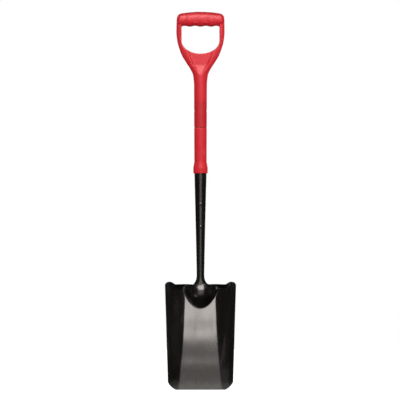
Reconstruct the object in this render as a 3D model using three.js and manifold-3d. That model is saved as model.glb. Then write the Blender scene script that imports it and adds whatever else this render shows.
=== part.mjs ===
// A square-mouth shovel with a D-handle, built as separate parts.
//
// All sizes are in millimetres. +Z runs up the shaft, the hollow side of the blade faces -Y,
// and X is across the blade. While the parts are shaped, Z is the height above the mouth of the
// blade; at the end everything is moved down so that the origin is the underside of the grip bar,
// where a wall peg carries the hanging shovel.

import * as THREE from "three";
import { mergeVertices } from "three/addons/utils/BufferGeometryUtils.js";
import Module from "manifold-3d";

const wasm = await Module();
wasm.setup();

const clearance = 0.3;
const outside = 2;
const holeReach = 40;
const crossSegments = 24;
const centreSpacing = 0.68;

// Blade: outline seen from the front, and the curve of its pan seen from the side.
const bladeTop = 276;
const bladeHalfWidthTop = 93;
const bladeHalfWidthLow = 85.2;
const cornerHeight = 22;
const cornerWidth = 20.5;
const cornerRoundness = 1.4;
const earHeight = 7;
const earInner = 64;
const earOuter = 80;
const earRoot = 225;
const earRound = 10;
const mouthDepth = -36;
const panSlopes = [
  [0, 0.12], [50, 0.08], [74, 0.17], [96, 0.12], [118, 0.165], [150, 0.25], [178, 0.22],
  [204, 0.33], [240, 0.28], [290, 0.20],
];

// Blade: turned-up side walls, forward-turned shoulder, and sheet thickness.
const bendLine = [[0, 58], [50, 52.5], [116, 46.5], [209, 42], [290, 41]];
const wallBendRadius = 3.5;
const rimWidth = 13;
const rimBendRadius = 3;
const rimSteepness = 0.6;
const rimLine = [[0, -50], [120, -43], [222, -29], [290, -27]];
const shoulderStart = 264;
const shoulderBlend = 14;
const shoulderSlope = 1.1;
const shoulderBendRadius = 3;
const shoulderFade = 86;
const sheetThickness = 2.1;
const mouthThickness = 1.6;
const bevelHeight = 30;

// Crown: the swelling where the neck of the socket spreads out into the pan, inside a parabola
// with its tip downwards. Behind it the sheet follows the swelling, except along a tapering spine.
const crownTip = 213;
const crownSpread = 0.0208;
const crownSlope = 1;
const crownBendRadius = 3;
const crownHalfWidth = 36;
const crownSharpness = 2.6;
const crest = [[213, 14], [248, 16.5], [261, 15.8], [274, 11.4], [290, 10.4]];
const crownBlend = 4;
const spineFoot = 196;
const spineHalfWidthFoot = 11;
const spineHalfWidthTop = 32;
const spineShare = 0.8;
const ribHeight = 3;
const ribHalfWidth = 17;
const ribFoot = 110;
const ribFull = 256;

// Socket: a long taper with a blind tapered bore.
const neckFoot = 262;
const neckFootBack = 6;
const neckTop = 300;
const neckRadius = 10.3;
const neckFlare = 12.5;
const socketTop = 590;
const socketRadiusTop = 17;
const socketCurve = 1.15;
const socketWall = 2.3;
const boreBottom = 332;
const boreTip = 6;
const seamFoot = 406;
const seamHalfWidth = 0.5;
const seamDepth = 0.6;

// Rivets that hold the socket on the shaft.
const rivetHeights = { rivet_upper: 488, rivet_lower: 428 };
const rivetRadius = 2.5;
const rivetHeadRadius = 4.6;
const rivetHeadHeight = 2.2;
const rivetLift = 0.4;

// Shaft.
const tubeBottom = 578;
const tubeTop = 812;
const tubeRadius = 13.4;
const tubeBore = 10.8;
const tenonBottom = 391;
const tenonTop = 650;
const plugBottom = 705;
const plugTop = 808;
const sleeveBottom = 592;
const sleeveTop = 689.7;
const sleeveRadiusBottom = 16.4;
const sleeveRadiusTop = 16.8;
const edgeRound = 0.8;

// Collar over the joint between the socket and the sleeve.
const collarBottom = 569.5;
const collarTop = 598;
const collarWidest = 581;
const collarRadius = 19.3;
const collarLip = 0.6;
const collarEdge = 1;
const collarGap = 1;
const collarRoundness = 0.6;

// D-handle: neck, yoke and arms are one loft; the grip bar is a second one across it.
const neckBottom = 690;
const yokeTop = 993;
const handleOutline = [
  [690, 16.9], [800, 17.2], [829, 19.7], [845, 26.4], [861, 36.8], [884, 50.2], [900, 56.2],
  [918, 61.2], [944, 64], [974, 63.4], [984, 61], [990, 55], [yokeTop, 46],
];
const handleHalfDepth = [
  [690, 16.9], [815, 17.4], [860, 16], [910, 14], [965, 14.5], [984, 11.5], [990, 7.5], [yokeTop, 4],
];
const handleSquareness = [[690, 2], [815, 2], [870, 3], [920, 3.6]];
const openingHalfWidth = 50;
const openingShoulder = 921;
const openingBottom = 886.5;
const openingTop = 966;
const openingRound = 6;
const webHalfDepth = 10;
const webFoot = 830;
const webFull = 860;
const webTop = 900;
const webHalfWidth = 27;
const webSharpness = 0.8;
const webDraft = 1.8;

// Grip bar.
const gripHalfLength = 63.6;
const gripRound = 13;
const gripTop = 998;
const gripCrown = 4.2;
const gripBottom = 959.4;
const gripHalfDepth = 16.4;
const fingerPitch = 28;
const fingerDepth = 1.2;
const fingerBulge = 0.8;
const fingerSpan = 50;
const fingerFade = 8;
const gripSquareness = 2.3;
const gripEndSquareness = 2.4;

// Pin through the neck of the D-handle.
const pinHeight = 735;
const pinRadius = 2.5;
const pinRecess = 0.5;
const pinChamfer = 0.5;

const paint = { color: "#17120f", roughness: 0.32, metalness: 0.6 };
const redPlastic = { color: "#c9323b", roughness: 0.42, metalness: 0 };
const collarPlastic = { color: "#cf363f", roughness: 0.4, metalness: 0 };
const fibreglass = { color: "#d9cfa8", roughness: 0.6, metalness: 0 };
const nylon = { color: "#3a3a3c", roughness: 0.65, metalness: 0 };
const plugPlastic = { color: "#8d8f92", roughness: 0.7, metalness: 0 };
const paintedRivet = { color: "#221c18", roughness: 0.36, metalness: 0.7 };
const zinc = { color: "#b4b6b8", roughness: 0.35, metalness: 0.9 };

// Height of the underside of the grip bar, where the shovel hangs.
const hangHeight = gripBottom - fingerDepth;

// ---------------------------------------------------------------- small helpers

function clamp01(value) {
  return Math.min(1, Math.max(0, value));
}

function mix(from, to, share) {
  return from + (to - from) * share;
}

function smoothStep(value, from, to) {
  const share = clamp01((value - from) / (to - from));
  return share * share * (3 - 2 * share);
}

// Zero before the bend, a straight ramp after it, with a rounded bend between.
function softRamp(value, radius) {
  return (value + Math.sqrt(value * value + radius * radius)) / 2;
}

function softMax(a, b, radius) {
  return (a + b + Math.sqrt((a - b) ** 2 + radius * radius) - radius) / 2;
}

// A smooth curve through [height, value] points that never swings past them.
function curveThrough(points) {
  const steps = points.slice(1).map((point, i) => {
    return (point[1] - points[i][1]) / (point[0] - points[i][0]);
  });
  const tangents = points.map((point, i) => {
    if (i === 0) return steps[0];
    if (i === points.length - 1) return steps[i - 1];
    if (steps[i - 1] * steps[i] <= 0) return 0;
    return (2 * steps[i - 1] * steps[i]) / (steps[i - 1] + steps[i]);
  });
  return (at) => {
    if (at <= points[0][0]) return points[0][1];
    if (at >= points[points.length - 1][0]) return points[points.length - 1][1];
    const i = points.findIndex((point) => point[0] > at) - 1;
    const width = points[i + 1][0] - points[i][0];
    const t = (at - points[i][0]) / width;
    const start = (1 + 2 * t) * points[i][1] + t * width * tangents[i];
    const end = (3 - 2 * t) * points[i + 1][1] + (t - 1) * width * tangents[i + 1];
    return (1 - t) ** 2 * start + t * t * end;
  };
}

function heights(from, to, count) {
  return Array.from({ length: count + 1 }, (_, i) => mix(from, to, i / count));
}

function distance(a, b) {
  return Math.hypot(a[0] - b[0], a[1] - b[1], a[2] - b[2]);
}

// Skins a list of rings, each a list of [x, y, z], and closes both ends. The first half of a ring
// runs one way across the shape and the second half runs back. Each quad is split along its
// shorter diagonal, so that slanting creases stay smooth.
function loft(rings) {
  const around = rings[0].length;
  const positions = rings.flat(2);
  const faces = [];
  for (let i = 0; i + 1 < rings.length; i++) {
    for (let j = 0; j < around; j++) {
      const next = (j + 1) % around;
      const [a, b] = [i * around + j, i * around + next];
      const [c, d] = [b + around, a + around];
      const rising = distance(rings[i][j], rings[i + 1][next]);
      const falling = distance(rings[i][next], rings[i + 1][j]);
      if (rising <= falling) faces.push(a, b, c, a, c, d);
      else faces.push(a, b, d, b, c, d);
    }
  }
  const last = (rings.length - 1) * around;
  for (let j = 0; j + 1 < around / 2; j++) {
    const other = around - 1 - j;
    faces.push(j, other, j + 1, j + 1, other, other - 1);
    faces.push(last + j, last + j + 1, last + other, last + j + 1, last + other - 1, last + other);
  }
  const geometry = new THREE.BufferGeometry();
  geometry.setAttribute("position", new THREE.Float32BufferAttribute(positions, 3));
  geometry.setIndex(faces);
  return geometry;
}

function toSolid(geometry) {
  const bare = geometry.clone();
  bare.deleteAttribute("normal");
  bare.deleteAttribute("uv");
  const welded = mergeVertices(bare, 1e-4);
  const solid = new wasm.Manifold(new wasm.Mesh({
    numProp: 3,
    vertProperties: new Float32Array(welded.attributes.position.array),
    triVerts: new Uint32Array(welded.index.array),
  }));
  return solid.volume() < 0 ? reversed(welded) : solid;
}

function reversed(welded) {
  const faces = Uint32Array.from(welded.index.array);
  for (let i = 0; i < faces.length; i += 3) {
    [faces[i], faces[i + 1]] = [faces[i + 1], faces[i]];
  }
  return new wasm.Manifold(new wasm.Mesh({
    numProp: 3,
    vertProperties: new Float32Array(welded.attributes.position.array),
    triVerts: faces,
  }));
}

// A body of revolution around Z from [radius, height] points.
function turned(profile, segments = 40) {
  const outline = profile.map(([radius, height]) => new THREE.Vector2(radius, height));
  const geometry = new THREE.LatheGeometry(outline, segments);
  geometry.rotateX(Math.PI / 2);
  return geometry;
}

// A tube around Z: the outer profile going up, then the inner one coming back down.
function tube(outer, inner, segments = 40) {
  const ring = [...outer, ...inner, outer[0]];
  return toSolid(turned(ring, segments));
}

function rod(outer, segments = 40) {
  const low = outer[0][1];
  const high = outer[outer.length - 1][1];
  return toSolid(turned([[0, low], ...outer, [0, high]], segments));
}

// A profile turned around an axis that crosses the shaft along "x" or "y" at a height.
function crossTurned(axis, profile, height) {
  const geometry = turned(profile, crossSegments);
  if (axis === "x") geometry.rotateY(Math.PI / 2);
  else geometry.rotateX(-Math.PI / 2);
  geometry.translate(0, 0, height);
  return toSolid(geometry);
}

// Cutter for a clearance hole right through everything around the shaft.
function crossHole(axis, pinSize, height) {
  const radius = pinSize + clearance;
  const end = (side) => [[0, side * holeReach], [radius, side * holeReach]];
  return crossTurned(axis, [...end(-1), ...end(1).reverse()], height);
}

// ---------------------------------------------------------------- blade and socket

const panLine = (() => {
  const starts = [mouthDepth];
  for (let i = 1; i < panSlopes.length; i++) {
    const rise = (panSlopes[i][0] - panSlopes[i - 1][0]) * (panSlopes[i][1] + panSlopes[i - 1][1]) / 2;
    starts.push(starts[i - 1] + rise);
  }
  return (z) => {
    const i = Math.max(0, panSlopes.findIndex((knot) => knot[0] > z) - 1);
    const along = z - panSlopes[i][0];
    const bend = (panSlopes[i + 1][1] - panSlopes[i][1]) / (panSlopes[i + 1][0] - panSlopes[i][0]);
    return starts[i] + panSlopes[i][1] * along + bend * along * along / 2;
  };
})();

function bladeHalfWidth(z) {
  const side = mix(bladeHalfWidthLow, bladeHalfWidthTop, (z - cornerHeight) / (bladeTop - cornerHeight));
  const below = clamp01((cornerHeight - z) / cornerHeight);
  return side - cornerWidth * (1 - (1 - below ** cornerRoundness) ** (1 / cornerRoundness));
}

const rimLineAt = curveThrough(rimLine);
const bendLineAt = curveThrough(bendLine);
const crestAt = curveThrough(crest);

// Depth of the plain dished sheet: a flat floor with a wall turned up at each side. The wall
// steepens once more close to its rim.
function dishedSheet(x, z) {
  const bend = bendLineAt(z);
  const edge = bladeHalfWidth(Math.max(z, cornerHeight));
  const rise = (across) => softRamp(across - bend, wallBendRadius)
    + rimSteepness * softRamp(across - edge + rimWidth, rimBendRadius);
  return panLine(z) - (panLine(z) - rimLineAt(z)) * rise(Math.abs(x)) / rise(edge);
}

// The crown rises inside a parabola, up to the line of the crest. Where the pan lies deeper than
// the crest there is no crown.
function crown(x, z) {
  const inside = z - crownTip - crownSpread * x * x;
  const ramp = crownSlope * softRamp(inside, crownBendRadius);
  const across = Math.exp(-((Math.abs(x) / crownHalfWidth) ** crownSharpness));
  const limit = softRamp(panLine(z) + crestAt(z), crownBendRadius) * across;
  return -softMax(-ramp, -limit, crownBlend);
}

function shoulder(x, z) {
  const ramp = shoulderSlope * softRamp(z - shoulderStart, shoulderBendRadius);
  const across = 1 - smoothStep(Math.abs(x), earInner, shoulderFade);
  return ramp * across * smoothStep(z, shoulderStart - shoulderBlend, shoulderStart);
}

function swelling(x, z) {
  return softMax(crown(x, z), shoulder(x, z), crownBlend);
}

function frontFace(x, z) {
  return dishedSheet(x, z) - swelling(x, z);
}

function backSheet(x, z) {
  const widening = smoothStep(z, spineFoot, bladeTop);
  const halfWidth = mix(spineHalfWidthFoot, spineHalfWidthTop, widening);
  const spine = Math.exp(-((x / halfWidth) ** 4));
  return dishedSheet(x, z) - swelling(x, z) * (1 - spineShare * spine);
}

function backRib(x, z) {
  return ribHeight * Math.exp(-((x / ribHalfWidth) ** 2)) * smoothStep(z, ribFoot, ribFull);
}

// A point on the back, one sheet thickness behind the sheet along its normal.
function backPoint(x, z) {
  const step = 0.5;
  const across = (backSheet(x + step, z) - backSheet(x - step, z)) / (2 * step);
  const along = (backSheet(x, z + step) - backSheet(x, z - step)) / (2 * step);
  const thickness = mix(mouthThickness, sheetThickness, smoothStep(z, 0, bevelHeight));
  const spread = thickness * Math.sqrt(1 + across * across + along * along) / (1 + across * across);
  return [x - across * spread, backSheet(x, z) + spread + backRib(x, z)];
}

// The outer corners of the blade stand a little above the shoulder, and are rounded.
function raised(x, z) {
  const lift = earHeight * smoothStep(Math.abs(x), earInner, earOuter);
  const beyond = clamp01((Math.abs(x) - bladeHalfWidth(z)) / earRound + 1);
  const drop = earRound * (1 - Math.sqrt(1 - beyond ** 2));
  return z + (lift - drop) * smoothStep(z, earRoot, bladeTop);
}

// The columns are closer together near the middle, where the crown is.
function bladeRing(z, across) {
  const xs = heights(-1, 1, across).map((u) => bladeHalfWidth(z) * u * mix(centreSpacing, 1, u * u));
  const front = xs.map((x) => [x, frontFace(x, z), raised(x, z)]);
  const back = xs.map((x) => {
    const [backX, backY] = backPoint(x, z);
    return [backX, backY, raised(x, z)];
  });
  return [...front, ...back.reverse()];
}

function bladeSolid() {
  const across = 44;
  const levels = [
    0, 1, 3, 6, 10, 15, cornerHeight, 34, 50, 70, 90, 110, 130, 150, 170,
    ...heights(190, 258, 19), 261, 264, 267, 270, 273, bladeTop,
  ];
  return toSolid(loft(levels.map((z) => bladeRing(z, across))));
}

function socketRadius(z) {
  return mix(neckRadius, socketRadiusTop, ((z - neckTop) / (socketTop - neckTop)) ** socketCurve);
}

function ovalRing(halfWidth, front, back, z, around) {
  const centre = (front + back) / 2;
  const halfDepth = (back - front) / 2;
  return Array.from({ length: around }, (_, i) => {
    const angle = (2 * Math.PI * (i + 0.5)) / around;
    return [-halfWidth * Math.cos(angle), centre - halfDepth * Math.sin(angle), z];
  });
}

// Below the shoulder the neck is buried in the crown; above it, it draws in to the round socket.
function neckRing(z, around) {
  const spread = clamp01((neckTop - z) / (neckTop - bladeTop));
  const flare = neckFlare * (1 - Math.sqrt(1 - spread ** 2)) ** 0.9;
  const blend = smoothStep(z, bladeTop, neckTop);
  const front = mix(frontFace(0, bladeTop) + 0.2, -neckRadius, blend);
  const back = mix(backPoint(0, bladeTop)[1] - 0.2, neckRadius, blend);
  return ovalRing(neckRadius + flare, front, back, z, around);
}

function socketSolid() {
  const around = 40;
  const buried = ovalRing(neckRadius, -neckRadius, neckFootBack, neckFoot, around);
  const neck = heights(bladeTop - 1, neckTop, 9).map((z) => neckRing(z, around));
  const taper = heights(neckTop, socketTop, 6).slice(1).map((z) => {
    const radius = socketRadius(z);
    return ovalRing(radius, -radius, radius, z, around);
  });
  return toSolid(loft([buried, ...neck, ...taper]));
}

function boreSolid() {
  const top = socketTop + outside;
  const low = socketRadius(boreBottom) - socketWall;
  return rod([[2, boreBottom - boreTip], [low, boreBottom], [socketRadius(top) - socketWall, top]]);
}

function seamGroove() {
  const ring = (z, floor) => [
    [-seamHalfWidth, floor, z], [seamHalfWidth, floor, z],
    [seamHalfWidth, socketRadiusTop + outside, z], [-seamHalfWidth, socketRadiusTop + outside, z],
  ];
  return toSolid(loft([
    ring(seamFoot, socketRadius(seamFoot) - seamDepth),
    ring(socketTop + outside, socketRadius(socketTop) - seamDepth),
  ]));
}

function headSolid() {
  let head = bladeSolid().add(socketSolid()).subtract(boreSolid()).subtract(seamGroove());
  for (const height of Object.values(rivetHeights)) {
    head = head.subtract(crossHole("y", rivetRadius, height));
  }
  return head;
}

// ---------------------------------------------------------------- shaft

function rivetSolid(height) {
  const seat = socketRadius(height) + rivetLift;
  const dome = (side) => [
    [rivetHeadRadius, side * seat],
    [rivetHeadRadius * 0.92, side * (seat + rivetHeadHeight * 0.45)],
    [rivetHeadRadius * 0.6, side * (seat + rivetHeadHeight * 0.85)],
    [0, side * (seat + rivetHeadHeight)],
  ];
  const profile = [...dome(-1).reverse(), [rivetRadius, -seat], [rivetRadius, seat], ...dome(1)];
  return crossTurned("y", profile, height);
}

function tenonSolid() {
  const inBore = (z) => socketRadius(z) - socketWall - clearance;
  const shoulderHeight = tubeBottom - clearance;
  const spigot = tubeBore - clearance;
  let tenon = rod([
    [inBore(tenonBottom) - 1, tenonBottom],
    [inBore(tenonBottom), tenonBottom + 2],
    [inBore(shoulderHeight), shoulderHeight],
    [spigot, shoulderHeight],
    [spigot, tenonTop - 1],
    [spigot - 1, tenonTop],
  ]);
  for (const height of Object.values(rivetHeights)) {
    tenon = tenon.subtract(crossHole("y", rivetRadius, height));
  }
  return tenon;
}

function coreTubeSolid() {
  const bare = tube(
    [[tubeRadius, tubeBottom], [tubeRadius, tubeTop]],
    [[tubeBore, tubeTop], [tubeBore, tubeBottom]],
  );
  return bare.subtract(crossHole("x", pinRadius, pinHeight));
}

function topPlugSolid() {
  const radius = tubeBore - clearance;
  const plug = rod([[radius - 1, plugBottom], [radius, plugBottom + 1], [radius, plugTop]]);
  return plug.subtract(crossHole("x", pinRadius, pinHeight));
}

function sleeveSolid() {
  const bore = tubeRadius + clearance;
  return tube(
    [
      [sleeveRadiusBottom, sleeveBottom],
      [sleeveRadiusTop, sleeveTop - edgeRound],
      [sleeveRadiusTop - edgeRound * 0.6, sleeveTop],
    ],
    [[bore, sleeveTop], [bore, sleeveBottom]],
    48,
  );
}

// Bell-shaped: it swells towards the socket and rounds over at its lower edge.
function collarSolid() {
  const overSleeve = sleeveRadiusBottom + clearance;
  const overSocket = socketRadiusTop + clearance;
  const step = socketTop + collarGap;
  const swell = heights(collarTop, collarWidest, 8).map((z) => {
    const share = smoothStep(z, collarTop, collarWidest);
    return [mix(overSleeve + collarLip, collarRadius, share), z];
  });
  const drop = collarWidest - collarBottom;
  const under = heights(0, Math.PI / 2, 6).slice(1).map((angle) => {
    const radius = mix(overSocket + collarEdge, collarRadius, Math.cos(angle) ** collarRoundness);
    return [radius, collarWidest - drop * Math.sin(angle)];
  });
  const inside = [
    [overSocket, collarBottom], [overSocket, step],
    [overSleeve, step], [overSleeve, collarTop],
  ];
  return toSolid(turned([...swell, ...under, ...inside, swell[0]], 48));
}

// ---------------------------------------------------------------- D-handle

const outlineAt = curveThrough(handleOutline);
const halfDepthAt = curveThrough(handleHalfDepth);
const squarenessAt = curveThrough(handleSquareness);

function squircle(halfWidth, halfDepth, squareness, around) {
  return Array.from({ length: around }, (_, i) => {
    const angle = (2 * Math.PI * (i + 0.5)) / around;
    const bulge = (value) => Math.sign(value) * Math.abs(value) ** (2 / squareness);
    return [-halfWidth * bulge(Math.cos(angle)), -halfDepth * bulge(Math.sin(angle))];
  });
}

function yokeSolid() {
  const levels = [
    ...heights(neckBottom, webFoot, 4),
    ...heights(webFoot, openingShoulder, 17).slice(1),
    ...heights(openingShoulder, 974, 4).slice(1),
    980, 984, 988, 991, yokeTop,
  ];
  const rings = levels.map((z) => {
    const ring = squircle(outlineAt(z), halfDepthAt(z), squarenessAt(z), 44);
    return ring.map(([x, y]) => [x, y, z]);
  });
  return toSolid(loft(rings));
}

// The hand opening: straight sides, a half-ellipse below, and edges that flare out at both faces.
function openingSolid() {
  const halfDepth = halfDepthAt(openingShoulder);
  const outline = (flare) => {
    const halfWidth = openingHalfWidth + flare;
    const drop = openingShoulder - openingBottom + flare;
    const lower = heights(0, Math.PI, 22).map((angle) => {
      return [-halfWidth * Math.cos(angle), openingShoulder - drop * Math.sin(angle)];
    });
    const upper = lower.map(([x]) => [x, openingTop]);
    return [...lower, ...upper.reverse()];
  };
  const round = heights(0, Math.PI / 2, 3).map((angle) => [
    halfDepth - openingRound * (1 - Math.sin(angle)),
    openingRound * (1 - Math.cos(angle)),
  ]);
  const front = [...round, [halfDepth + outside, openingRound]];
  const levels = [...front.map(([depth, flare]) => [-depth, flare]).reverse(), ...front];
  return toSolid(loft(levels.map(([y, flare]) => outline(flare).map(([x, z]) => [x, y, z]))));
}

// Wedge-shaped pocket on one face of the yoke; it leaves a thin web between the two arms.
function webPocket(side) {
  const open = halfDepthAt(webFoot) + outside;
  const deepAt = curveThrough([[webFoot, open - outside], [webFull, webHalfDepth], [webTop, webHalfDepth]]);
  const rings = heights(webFoot, webTop, 10).map((z) => {
    const share = (z - webFoot) / (openingBottom - webFoot);
    const half = webHalfWidth * Math.max(0.02, share) ** webSharpness;
    const wide = half + webDraft * (open - deepAt(z));
    const [floor, face] = [side * deepAt(z), side * open];
    return [[-half, floor, z], [half, floor, z], [wide, face, z], [-wide, face, z]];
  });
  return toSolid(loft(rings));
}

function gripBarSolid() {
  const straight = gripHalfLength - gripRound;
  const round = heights(0, 0.96 * Math.PI / 2, 5).slice(1);
  const ends = round.map((angle) => straight + gripRound * Math.sin(angle));
  const xs = [...ends.map((x) => -x).reverse(), ...heights(-straight, straight, 28), ...ends];
  const rings = xs.map((x) => {
    const fade = 1 - smoothStep(Math.abs(x), fingerSpan - fingerFade, fingerSpan);
    const wave = Math.cos((2 * Math.PI * x) / fingerPitch) * fade;
    const low = gripBottom - fingerDepth * wave;
    const high = gripTop - gripCrown * (x / straight) ** 2;
    const beyond = clamp01((Math.abs(x) - straight) / gripRound);
    const end = (1 - beyond ** gripEndSquareness) ** (1 / gripEndSquareness);
    const halfHeight = (high - low) / 2 * end;
    const ring = squircle(halfHeight, (gripHalfDepth + fingerBulge * wave) * end, gripSquareness, 24);
    return ring.map(([across, y]) => [x, y, (low + high) / 2 - across]);
  });
  return toSolid(loft(rings));
}

function handleSolid() {
  const boreRadius = tubeRadius + clearance;
  const bore = rod([[boreRadius, neckBottom - outside], [boreRadius, tubeTop + clearance]]);
  return yokeSolid()
    .subtract(openingSolid())
    .subtract(webPocket(-1))
    .subtract(webPocket(1))
    .add(gripBarSolid())
    .subtract(bore)
    .subtract(crossHole("x", pinRadius, pinHeight));
}

function pinSolid() {
  const half = outlineAt(pinHeight) - pinRecess;
  const end = (side) => [[pinRadius, side * (half - pinChamfer)], [pinRadius - pinChamfer, side * half]];
  return crossTurned("x", [[0, -half], ...end(-1).reverse(), ...end(1), [0, half]], pinHeight);
}

// ---------------------------------------------------------------- assembly

function part(name, solid, look) {
  const mesh = solid.getMesh();
  const geometry = new THREE.BufferGeometry();
  geometry.setAttribute("position", new THREE.Float32BufferAttribute(mesh.vertProperties, 3));
  geometry.setIndex(new THREE.Uint32BufferAttribute(mesh.triVerts, 1));
  geometry.translate(0, 0, -hangHeight);
  geometry.computeVertexNormals();
  const result = new THREE.Mesh(geometry, new THREE.MeshStandardMaterial(look));
  result.name = name;
  return result;
}

const shovel = new THREE.Group();
shovel.name = "square_mouth_shovel";
shovel.add(part("blade_and_socket", headSolid(), paint));
shovel.add(part("socket_tenon", tenonSolid(), nylon));
shovel.add(part("shaft_tube", coreTubeSolid(), fibreglass));
shovel.add(part("tube_plug", topPlugSolid(), plugPlastic));
shovel.add(part("shaft_sleeve", sleeveSolid(), redPlastic));
shovel.add(part("socket_collar", collarSolid(), collarPlastic));
shovel.add(part("d_handle", handleSolid(), redPlastic));
for (const [name, height] of Object.entries(rivetHeights)) {
  shovel.add(part(name, rivetSolid(height), paintedRivet));
}
shovel.add(part("handle_pin", pinSolid(), zinc));

export default shovel;
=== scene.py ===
"""A square-mouth shovel with a D-handle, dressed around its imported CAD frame.

Shapes are worked out in millimetres with z as the height above the mouth of the blade, and are
moved into the frame, in metres, by to_frame(). The hollow side of the blade faces -Y.
"""

import math

import bmesh
import bpy
import numpy as np
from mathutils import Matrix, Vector


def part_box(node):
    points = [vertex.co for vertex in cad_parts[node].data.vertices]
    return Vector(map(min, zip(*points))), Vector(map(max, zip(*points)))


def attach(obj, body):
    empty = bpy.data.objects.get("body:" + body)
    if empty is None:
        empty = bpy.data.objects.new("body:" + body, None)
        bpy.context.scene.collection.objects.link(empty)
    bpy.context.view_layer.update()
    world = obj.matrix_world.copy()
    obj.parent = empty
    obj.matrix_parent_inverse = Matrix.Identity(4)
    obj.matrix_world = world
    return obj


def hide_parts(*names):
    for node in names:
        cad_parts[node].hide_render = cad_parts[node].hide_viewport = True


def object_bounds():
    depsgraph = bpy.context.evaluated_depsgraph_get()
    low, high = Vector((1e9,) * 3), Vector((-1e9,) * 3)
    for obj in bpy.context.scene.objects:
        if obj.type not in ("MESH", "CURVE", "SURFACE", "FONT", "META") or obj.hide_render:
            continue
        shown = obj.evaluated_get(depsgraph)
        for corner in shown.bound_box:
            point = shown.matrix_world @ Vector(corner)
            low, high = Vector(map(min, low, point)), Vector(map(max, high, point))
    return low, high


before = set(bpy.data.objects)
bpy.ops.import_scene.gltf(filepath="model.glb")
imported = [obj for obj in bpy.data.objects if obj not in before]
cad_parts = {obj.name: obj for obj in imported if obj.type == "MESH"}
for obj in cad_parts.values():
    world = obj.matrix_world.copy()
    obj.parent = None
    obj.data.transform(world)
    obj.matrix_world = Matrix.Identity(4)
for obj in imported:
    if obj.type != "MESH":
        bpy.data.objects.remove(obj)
cad_low, cad_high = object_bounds()

MM = 0.001


def corners_of(node):
    """The lowest and highest corners of a CAD node, in millimetres above the mouth."""
    lift = Vector((0, 0, cad_low.z))
    low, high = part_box(node)
    return (low - lift) / MM, (high - lift) / MM


HEAD_HIGH = corners_of("blade_and_socket")[1]
SLEEVE_LOW, SLEEVE_HIGH = corners_of("shaft_sleeve")
COLLAR_LOW, COLLAR_HIGH = corners_of("socket_collar")
HANDLE_LOW, HANDLE_HIGH = corners_of("d_handle")
TUBE_HIGH = corners_of("shaft_tube")[1]
PIN_LOW, PIN_HIGH = corners_of("handle_pin")

# Blade: outline, pan curve, side walls and shoulder.
BLADE_TOP = 276.0
HALF_WIDTH_TOP = 93.0
HALF_WIDTH_LOW = 85.2
CORNER_HEIGHT = 22.0
CORNER_WIDTH = 20.5
CORNER_ROUNDNESS = 1.4
EAR_HEIGHT = 7.0
EAR_INNER = 64.0
EAR_OUTER = 80.0
EAR_ROOT = 225.0
EAR_ROUND = 10.0
MOUTH_DEPTH = -36.0
PAN_KNOTS = np.array([0.0, 50.0, 74.0, 96.0, 118.0, 150.0, 178.0, 204.0, 240.0, 290.0])
PAN_SLOPES = np.array([0.12, 0.08, 0.17, 0.12, 0.165, 0.25, 0.22, 0.33, 0.28, 0.20])
BEND_LINE = [(0, 58), (50, 52.5), (116, 46.5), (209, 42), (290, 41)]
WALL_BEND_RADIUS = 3.5
RIM_WIDTH = 13.0
RIM_BEND_RADIUS = 3.0
RIM_STEEPNESS = 0.6
RIM_LINE = [(0, -50), (120, -43), (222, -29), (290, -27)]
SHOULDER_START = 264.0
SHOULDER_BLEND = 14.0
SHOULDER_SLOPE = 1.1
SHOULDER_BEND_RADIUS = 3.0
SHOULDER_FADE = 86.0
SHEET_THICKNESS = 2.1
MOUTH_THICKNESS = 1.6
BEVEL_HEIGHT = 30.0
EDGE_ROUND = 0.9

# Crown, spine and neck.
CROWN_TIP = 213.0
CROWN_SPREAD = 0.0208
CROWN_SLOPE = 1.0
CROWN_BEND_RADIUS = 3.0
CROWN_HALF_WIDTH = 36.0
CROWN_SHARPNESS = 2.6
CREST = [(213, 14), (248, 16.5), (261, 15.8), (274, 11.4), (290, 10.4)]
CROWN_BLEND = 4.0
SPINE_FOOT = 196.0
SPINE_HALF_WIDTH_FOOT = 11.0
SPINE_HALF_WIDTH_TOP = 32.0
SPINE_SHARE = 0.8
RIB_HEIGHT = 3.0
RIB_HALF_WIDTH = 17.0
RIB_FOOT = 110.0
RIB_FULL = 256.0
NECK_TOP = 300.0
NECK_RADIUS = 10.3
NECK_STEEPEST = 0.6
NECK_LEAST_RISE = 0.5
SOCKET_TOP = HEAD_HIGH.z
SOCKET_RADIUS_TOP = 17.0
SOCKET_CURVE = 1.15
SOCKET_WALL = 2.3
SOCKET_RIM_ROUND = 0.6
BORE_BOTTOM = 332.0
BORE_LEAD_IN = 8.0
BORE_TIP = 6.0
BORE_TIP_RADIUS = 2.0
SEAM_FOOT = 406.0
SEAM_RUN_IN = 12.0
SEAM_DEPTH = 0.6
SEAM_SQUEEZE = 0.4

# Grid of the head: columns across, those that run up into the neck, points round a sheet edge
# and the socket's rim, and rows round the lower corners, up the blade, neck, socket and bore.
COLUMNS = 120
NECK_COLUMNS = 30
EDGE_POINTS = 5
RIM_POINTS = 4
CORNER_ROWS = 16
MIDDLE_ROWS = 112
SHOULDER_ROWS = 25
SHOULDER_ROWS_FROM = 250.0
NECK_ROWS = 18
SOCKET_ROWS = 60
BORE_ROWS = 12


# ---------------------------------------------------------------- small helpers


def mix(start, end, share):
    return start + (end - start) * share


def smooth_step(value, start, end):
    share = np.clip((value - start) / (end - start), 0, 1)
    return share * share * (3 - 2 * share)


def soft_ramp(value, radius):
    """Zero before the bend, a straight ramp after it, with a rounded bend between."""
    return (value + np.sqrt(value * value + radius * radius)) / 2


def soft_max(a, b, radius):
    return (a + b + np.sqrt((a - b) ** 2 + radius * radius) - radius) / 2


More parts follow.
